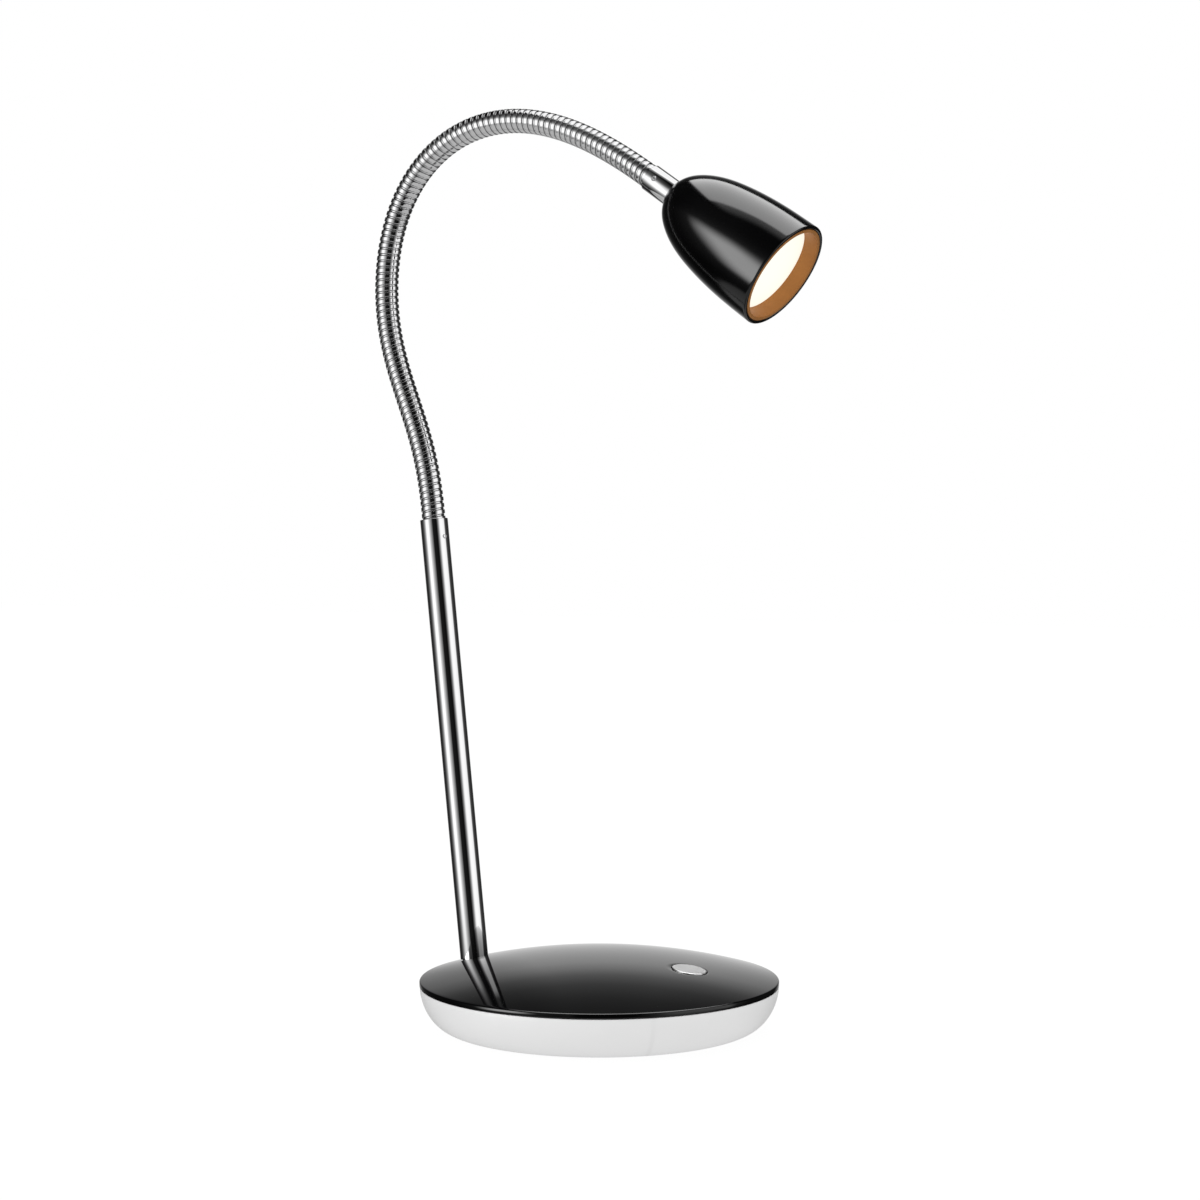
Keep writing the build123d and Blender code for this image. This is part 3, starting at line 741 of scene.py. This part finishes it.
# The studio that mirrors see, by direction: bright wall behind, soft boxes left, right and overhead,
# dark between them; matt surfaces see one plain level and the eye sees white.
def makeWorld():
    world = bpy.data.worlds.new("studioWorld")
    bpy.context.scene.world = world
    world.use_nodes = True
    tree = world.node_tree
    turn = math.radians(view["azimuth"])
    look = tree.nodes.new("ShaderNodeTexCoord").outputs["Generated"]

    def share(direction):
        node = tree.nodes.new("ShaderNodeVectorMath")
        node.operation = "DOT_PRODUCT"
        node.inputs[1].default_value = direction
        tree.links.new(look, node.inputs[0])
        return node.outputs["Value"]

    # 1 inside a box's marks both ways, fading to 0 outside them.
    def patch(across, acrossMarks, upward, upMarks):
        return maths(tree, "MULTIPLY", between(tree, across, *acrossMarks), between(tree, upward, *upMarks))

    # A box's light: whole where the ray left a glossy moulding, and its share off polished plating.
    def lit(panel, box):
        strength = spread(tree, plated, box["bright"], box["bright"] * box["plated"])
        return maths(tree, "MULTIPLY", panel, strength)

    plated = rayKind(tree, "Is Singular Ray")
    front = share((math.sin(turn), -math.cos(turn), 0))
    right = share((math.cos(turn), math.sin(turn), 0))
    up = share((0, 0, 1))
    around = maths(tree, "DEGREES", maths(tree, "ARCTAN2", right, front))
    height = maths(tree, "DEGREES", maths(tree, "ARCSINE", up))
    byHeight = byStops(tree, height, studio["upward"])
    wall = maths(tree, "MULTIPLY", byStops(tree, around, studio["around"]), byHeight)
    left = studio["leftWall"]
    leftPart = between(tree, around, *left["right"], left["fade"])
    shaded = maths(tree, "MULTIPLY", leftPart, spread(tree, plated, 1, 0))
    wall = maths(tree, "MULTIPLY", wall, spread(tree, shaded, 1.0, left["share"]))
    sideBox, table, rightPanel = studio["sideBox"], studio["table"], studio["rightPanel"]
    sidePatch = patch(around, sideBox["right"], height, sideBox["up"])
    below = between(tree, height, -100, table["edge"], table["fade"])
    rightPatch = patch(around, rightPanel["right"], height, rightPanel["up"])
    total = maths(tree, "ADD", wall, studio["dark"])
    total = maths(tree, "ADD", total, lit(sidePatch, sideBox))
    total = maths(tree, "MAXIMUM", total, maths(tree, "MULTIPLY", below, table["bright"]))
    total = maths(tree, "MAXIMUM", total, maths(tree, "MULTIPLY", rightPatch, rightPanel["bright"]))
    rise = maths(tree, "MAXIMUM", up, studio["lowestRise"])
    skewed = maths(tree, "ADD", right, maths(tree, "MULTIPLY", front, studio["skew"]))
    sideways, forward = maths(tree, "DIVIDE", skewed, rise), maths(tree, "DIVIDE", front, rise)
    for box in (studio["topBox"], studio["topGlow"]):
        overhead = patch(sideways, (*box["right"], box["fade"]), forward, (*box["front"], box["fade"]))
        total = maths(tree, "ADD", total, lit(overhead, box))

    plain = tree.nodes["Background"]
    plain.inputs["Color"].default_value = (1, 1, 1, 1)
    plain.inputs["Strength"].default_value = studio["plain"]
    seen = tree.nodes.new("ShaderNodeBackground")
    seen.inputs["Color"].default_value = (1, 1, 1, 1)
    mirrored = tree.nodes.new("ShaderNodeBackground")
    tree.links.new(total, mirrored.inputs["Strength"])
    for kind, shader in ((("Is Camera Ray",), seen), (("Is Glossy Ray", "Is Transmission Ray"), mirrored)):
        mix = tree.nodes.new("ShaderNodeMixShader")
        tree.links.new(rayKind(tree, *kind), mix.inputs["Fac"])
        tree.links.new(plain.outputs[0], mix.inputs[1])
        tree.links.new(shader.outputs[0], mix.inputs[2])
        plain = mix
    tree.links.new(plain.outputs[0], tree.nodes["World Output"].inputs["Surface"])


# Pale floor that shows white to the eye and keeps part of the object's shadow. Matt surfaces see it
# evenly lit, and mirrors see the studio's table instead.
def makeFloor():
    half = studio["floorSize"] / 2
    mesh = bpy.data.meshes.new("floor")
    corners = [(-half, -half, 0), (half, -half, 0), (half, half, 0), (-half, half, 0)]
    mesh.from_pydata(corners, [], [(0, 1, 2, 3)])
    floor = bpy.data.objects.new("floor", mesh)
    bpy.context.scene.collection.objects.link(floor)
    material, tree, shader = nodeMaterial("floorPaper", Roughness=0.9)
    shader.inputs["Base Color"].default_value = (studio["floorTone"],) * 3 + (1,)

    def glow(strength):
        node = tree.nodes.new("ShaderNodeEmission")
        node.inputs["Strength"].default_value = strength
        return node.outputs[0]

    def mixed(share, first, second):
        node = tree.nodes.new("ShaderNodeMixShader")
        tree.links.new(share, node.inputs["Fac"])
        tree.links.new(first, node.inputs[1])
        tree.links.new(second, node.inputs[2])
        return node.outputs[0]

    whiteness = spread(tree, rayKind(tree, "Is Camera Ray"), 0.0, studio["floorShare"])
    seen = mixed(whiteness, shader.outputs[0], glow(studio["floorWhite"]))
    total = mixed(rayKind(tree, "Is Diffuse Ray"), seen, glow(studio["floorGlow"]))
    tree.links.new(total, tree.nodes["Material Output"].inputs["Surface"])
    floor.visible_glossy = False
    floor.visible_transmission = False
    mesh.materials.append(material)


# A place at an azimuth counted as the views count it, in metres.
def aroundLamp(azimuth, distance, height):
    a = math.radians(azimuth)
    return np.array([math.sin(a) * distance, -math.cos(a) * distance, height])


# Soft lamp that lights matt surfaces; mirrors see the studio's own boxes instead.
def makeSoftbox(name, azimuth, distance, height, size, power):
    light = bpy.data.lights.new(name, "AREA")
    light.shape = "RECTANGLE"
    light.size, light.size_y = size
    light.energy = power
    lamp = bpy.data.objects.new(name, light)
    bpy.context.scene.collection.objects.link(lamp)
    place = aroundLamp(azimuth, distance, height)
    lamp.location = place
    aim = np.array([0, 0, lightAim]) - place
    lean = math.atan2(math.hypot(aim[0], aim[1]), -aim[2])
    lamp.rotation_euler = (lean, 0, math.atan2(aim[0], -aim[1]) + math.pi)
    lamp.visible_camera = False
    lamp.visible_glossy = False


def makeCamera():
    cam = bpy.data.cameras.new("camera")
    cam.sensor_width = view["sensor"]
    cam.lens = view["lens"]
    cam.clip_end = view["farClip"]
    eye = bpy.data.objects.new("camera", cam)
    bpy.context.scene.collection.objects.link(eye)
    turn = math.radians(view["azimuth"])
    right = np.array([math.cos(turn), math.sin(turn), 0])
    place = aroundLamp(view["azimuth"], view["distance"] * mm, view["height"] * mm)
    eye.location = place + right * view["right"] * mm
    eye.rotation_euler = (math.radians(90 - view["pitch"]), 0, turn)
    bpy.context.scene.camera = eye


makeWorld()
makeFloor()
for name, azimuth, distance, height, size, power in softLights:
    makeSoftbox(name, view["azimuth"] + azimuth, distance, height, size, power)
makeCamera()
bpy.context.scene.view_settings.view_transform = "Standard"
print("studio made")
